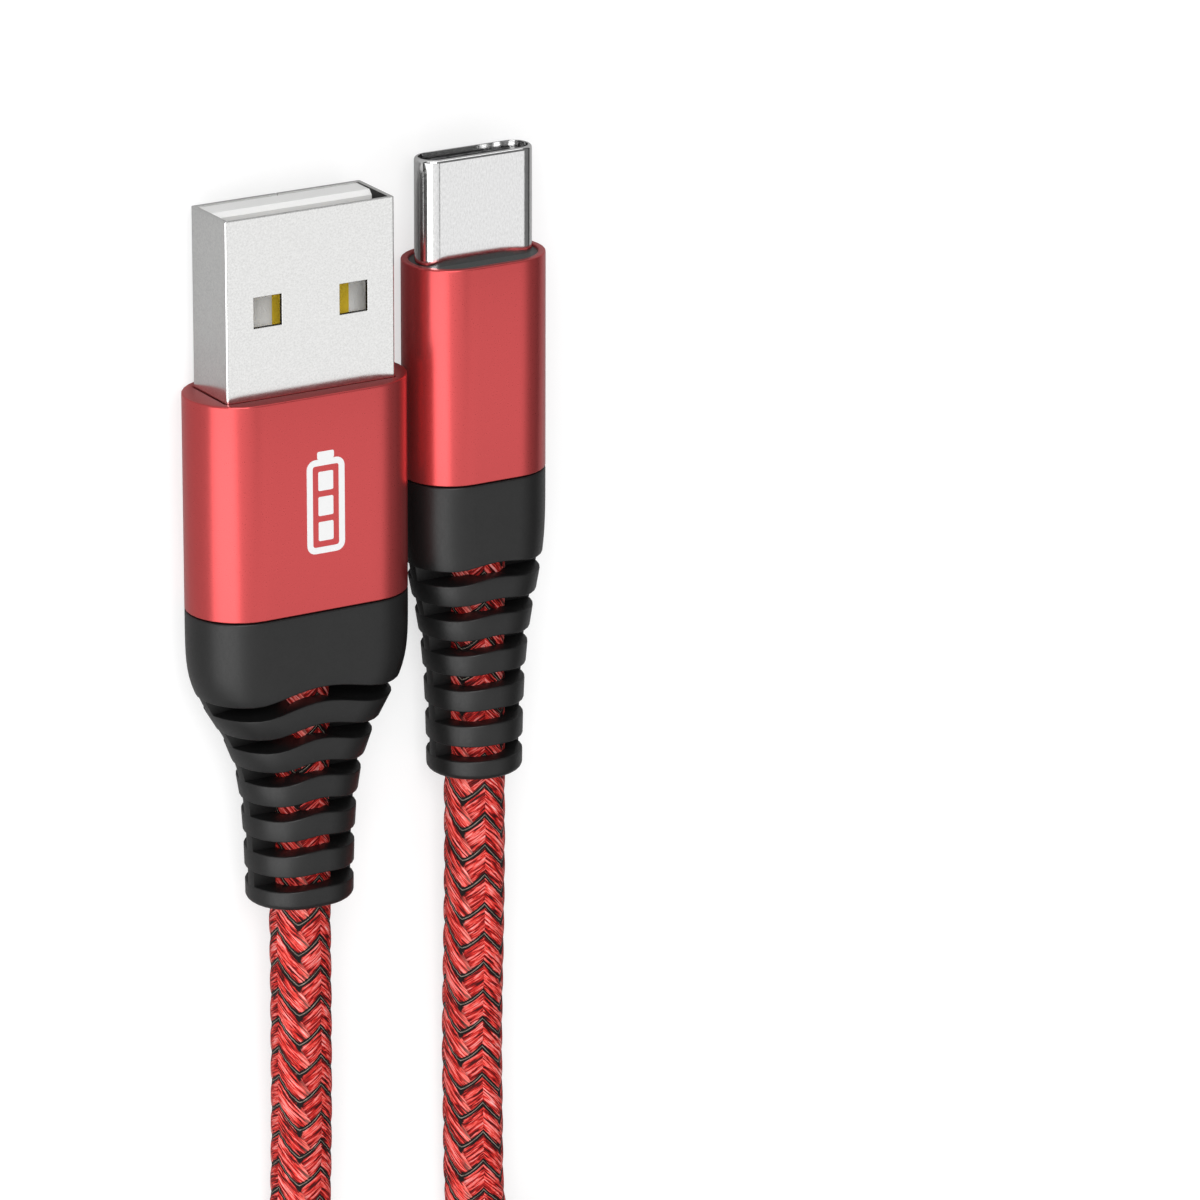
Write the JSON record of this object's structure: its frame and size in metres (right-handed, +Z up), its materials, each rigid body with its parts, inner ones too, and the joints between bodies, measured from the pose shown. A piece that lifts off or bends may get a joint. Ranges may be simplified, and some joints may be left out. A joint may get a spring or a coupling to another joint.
{
  "type": "charging cable",
  "caption": "Short braided charging cable with a USB-A plug and a USB-C plug, ladder-cut rubber strain reliefs and the spare cord tied in a hank.",
  "frame": {"origin": "on the table under the middle of the two plugs' shared bounding box", "axes": "+Y towards the plugs' tips, +Z up from the table, +X from the USB-A plug to the USB-C plug"},
  "size_m": [0.0362, 0.165, 0.02],
  "materials": {
    "nickel_steel": "bright nickel plate on folded or drawn steel",
    "white_plastic": "moulded white polyester, satin",
    "black_plastic": "moulded black liquid-crystal polymer, satin",
    "ivory_plastic": "low-pressure inner moulding, satin",
    "gold_contact": "gold flash over copper alloy",
    "spring_steel": "stainless spring strip",
    "red_aluminium": "red anodised, fine bead-blasted satin",
    "black_rubber": "moulded elastomer, soft satin",
    "red_braid": "red braided yarn with a dark zigzag tracer",
    "black_webbing": "hook-and-loop strap",
    "green_board": "solder mask over glass-fibre board",
    "chip_black": "thick-film chip",
    "red_wire": "extruded wire insulation",
    "white_wire": "extruded wire insulation",
    "green_wire": "extruded wire insulation",
    "black_wire": "extruded wire insulation"
  },
  "bodies": {
    "root": {"usb_a_shell": "nickel_steel", "usb_a_insulator": "white_plastic", "usb_a_contact_vbus": "gold_contact", "usb_a_contact_dminus": "gold_contact", "usb_a_contact_dplus": "gold_contact", "usb_a_contact_ground": "gold_contact", "usb_a_wire_vbus": "red_wire", "usb_a_wire_dminus": "white_wire", "usb_a_wire_dplus": "green_wire", "usb_a_wire_ground": "black_wire", "usb_a_inner_mould": "ivory_plastic", "usb_a_sleeve": "red_aluminium", "usb_a_strain_relief": "black_rubber", "usb_a_cord_end": "red_braid", "usb_c_shell": "nickel_steel", "usb_c_housing": "black_plastic", "usb_c_contacts_upper": "gold_contact", "usb_c_contacts_lower": "gold_contact", "usb_c_latch_spring": "spring_steel", "usb_c_ground_spring_upper": "spring_steel", "usb_c_ground_spring_lower": "spring_steel", "usb_c_paddle_board": "green_board", "usb_c_pullup_resistor": "chip_black", "usb_c_wire_vbus": "red_wire", "usb_c_wire_dminus": "white_wire", "usb_c_wire_dplus": "green_wire", "usb_c_wire_ground": "black_wire", "usb_c_inner_mould": "ivory_plastic", "usb_c_collar": "black_plastic", "usb_c_sleeve": "red_aluminium", "usb_c_strain_relief": "black_rubber", "usb_c_cord_end": "red_braid", "cord_run_a": "red_braid", "cord_hank": "red_braid", "cord_run_c": "red_braid", "cable_tie": "black_webbing"}
  },
  "joints": []
}
